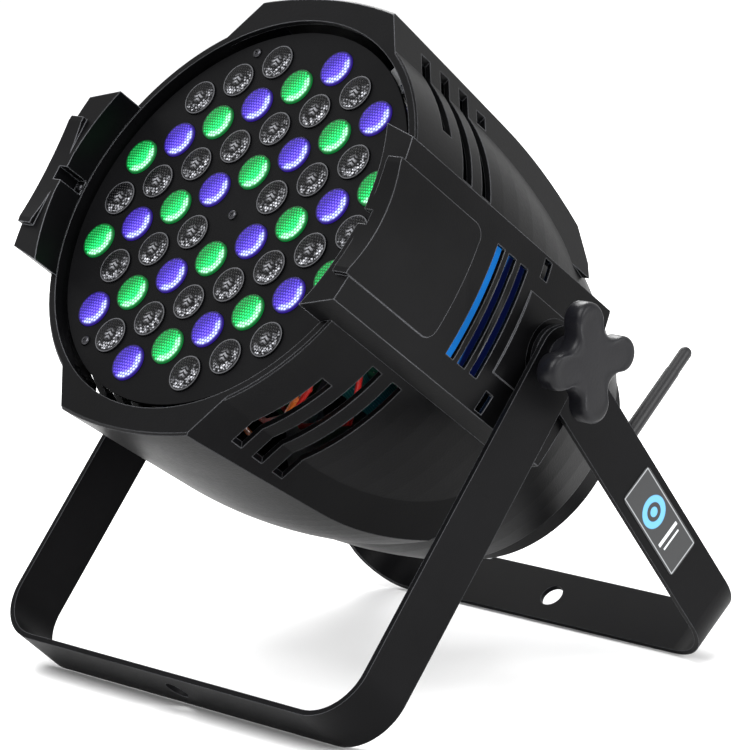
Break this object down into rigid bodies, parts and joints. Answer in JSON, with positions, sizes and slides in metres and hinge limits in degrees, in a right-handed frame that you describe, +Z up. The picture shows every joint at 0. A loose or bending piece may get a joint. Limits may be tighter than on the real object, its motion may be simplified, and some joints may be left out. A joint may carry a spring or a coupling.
{
  "type": "par can light",
  "caption": "Stage par light with a round cast head, a face of small coloured lenses, hooded side covers, a double floor yoke clamped by lobed knobs, rear sockets and an antenna.",
  "frame": {"origin": "centre of the footprint, on the floor under the tilt axis", "axes": "+Z up, -Y the way the light points, +X along the tilt axis towards the right-hand knob"},
  "size_m": [0.322, 0.3656, 0.3643],
  "materials": {
    "yoke_black": "semi-gloss black powder coat",
    "label": "printed film, plain",
    "knob_black": "moulded nylon, fine grain",
    "steel": "zinc plated",
    "nylon": "plain",
    "rubber": "plain",
    "brass": "turned",
    "body_black": "die cast, satin black paint",
    "cover_black": "satin black, glossier inside",
    "plate_black": "matt black paint",
    "lens_clear": "moulded optic, clear",
    "lens_green": "moulded optic, lit green",
    "lens_blue": "moulded optic, lit blue",
    "board_white": "solder mask",
    "chip_yellow": "phosphor",
    "sink_metal": "extruded, bare",
    "fan_black": "moulded",
    "board_green": "solder mask",
    "film_blue": "insulating film",
    "wire_red": "PVC sleeve",
    "wire_orange": "PVC sleeve",
    "sheet_zinc": "zinc plated sheet",
    "cap_black": "satin black powder coat",
    "window_dark": "tinted window",
    "button_grey": "moulded",
    "socket_blue": "moulded insert",
    "socket_grey": "moulded insert",
    "socket_black": "moulded shell",
    "plated": "nickel plated",
    "antenna_black": "moulded"
  },
  "bodies": {
    "front_yoke": {"front_yoke": "yoke_black", "washer_right": "steel", "washer_left": "steel", "spacer_rings": "nylon"},
    "rear_yoke": {"rear_yoke": "yoke_black", "yoke_label": "label"},
    "knob_right": {"knob_right": "knob_black", "stud_right": "steel"},
    "knob_left": {"knob_left": "knob_black", "stud_left": "steel"},
    "head": {"rubber_rings": "rubber", "insert_right": "brass", "insert_left": "brass", "housing": "body_black", "side_cover_right": "cover_black", "side_cover_left": "cover_black", "cover_screws": "steel", "lens_plate": "plate_black", "plate_screws": "steel", "lenses_clear": "lens_clear", "lenses_green": "lens_green", "lenses_blue": "lens_blue", "led_board": "board_white", "led_chips": "chip_yellow", "heat_sink": "sink_metal", "fan_frame": "fan_black", "power_supply": "board_green", "insulation_sheet": "film_blue", "driver_board": "board_green", "wires_red": "wire_red", "wires_orange": "wire_orange", "chassis_plate": "sheet_zinc", "rear_posts": "sheet_zinc", "rear_cap": "cap_black", "cap_screws": "steel", "display_board": "board_green", "display_window": "window_dark", "mains_inlet": "socket_blue", "mains_outlet": "socket_grey", "signal_inlet": "socket_black", "signal_outlet": "socket_black", "fuse_holder": "socket_black", "safety_eye": "plated"},
    "fan": {"fan_rotor": "fan_black"},
    "button_menu": {"button_menu": "button_grey"},
    "button_up": {"button_up": "button_grey"},
    "button_down": {"button_down": "button_grey"},
    "button_enter": {"button_enter": "button_grey"},
    "latch": {"latch_tab": "plated"},
    "fuse_cap": {"fuse_cap": "socket_black"},
    "antenna_stub": {"antenna_stub": "antenna_black"},
    "antenna_rod": {"antenna_rod": "antenna_black"}
  },
  "joints": [
    {"name": "head_tilt", "type": "hinge", "parent": "front_yoke", "child": "head", "pos_m": [0, 0, 0.18605], "axis": [1, 0, 0], "range_deg": [-54, 66]},
    {"name": "rear_yoke_swing", "type": "hinge", "parent": "front_yoke", "child": "rear_yoke", "pos_m": [0, 0, 0.18605], "axis": [1, 0, 0], "range_deg": [-78.3, 60]},
    {"name": "knob_right_turn", "type": "hinge", "parent": "front_yoke", "child": "knob_right", "pos_m": [0.14, 0, 0.18605], "axis": [1, 0, 0], "continuous": true},
    {"name": "knob_left_turn", "type": "hinge", "parent": "front_yoke", "child": "knob_left", "pos_m": [-0.14, 0, 0.18605], "axis": [-1, 0, 0], "continuous": true},
    {"name": "fan_spin", "type": "hinge", "parent": "head", "child": "fan", "pos_m": [0, -0.05839, 0.22477], "axis": [0, -0.809, 0.5878], "continuous": true},
    {"name": "button_menu_press", "type": "slide", "parent": "head", "child": "button_menu", "axis": [0, -0.809, 0.5878], "range_m": [0, 0.0012], "stiffness_N_per_m": 1200, "springref_m": -0.0005},
    {"name": "button_up_press", "type": "slide", "parent": "head", "child": "button_up", "axis": [0, -0.809, 0.5878], "range_m": [0, 0.0012], "stiffness_N_per_m": 1200, "springref_m": -0.0005},
    {"name": "button_down_press", "type": "slide", "parent": "head", "child": "button_down", "axis": [0, -0.809, 0.5878], "range_m": [0, 0.0012], "stiffness_N_per_m": 1200, "springref_m": -0.0005},
    {"name": "button_enter_press", "type": "slide", "parent": "head", "child": "button_enter", "axis": [0, -0.809, 0.5878], "range_m": [0, 0.0012], "stiffness_N_per_m": 1200, "springref_m": -0.0005},
    {"name": "latch_press", "type": "slide", "parent": "head", "child": "latch", "axis": [0, -0.809, 0.5878], "range_m": [0, 0.0015], "stiffness_N_per_m": 1500, "springref_m": -0.0005},
    {"name": "fuse_cap_turn", "type": "hinge", "parent": "head", "child": "fuse_cap", "pos_m": [-0.05, 0.10981, 0.10751], "axis": [0, -0.809, 0.5878], "range_deg": [0, 90]},
    {"name": "antenna_swivel", "type": "hinge", "parent": "head", "child": "antenna_stub", "pos_m": [0.063, 0.12025, 0.10487], "axis": [0, -0.809, 0.5878], "range_deg": [-50, 200]},
    {"name": "antenna_fold", "type": "hinge", "parent": "antenna_stub", "child": "antenna_rod", "pos_m": [0.063, 0.12025, 0.10487], "axis": [1, 0, 0], "range_deg": [-77, 13]}
  ]
}
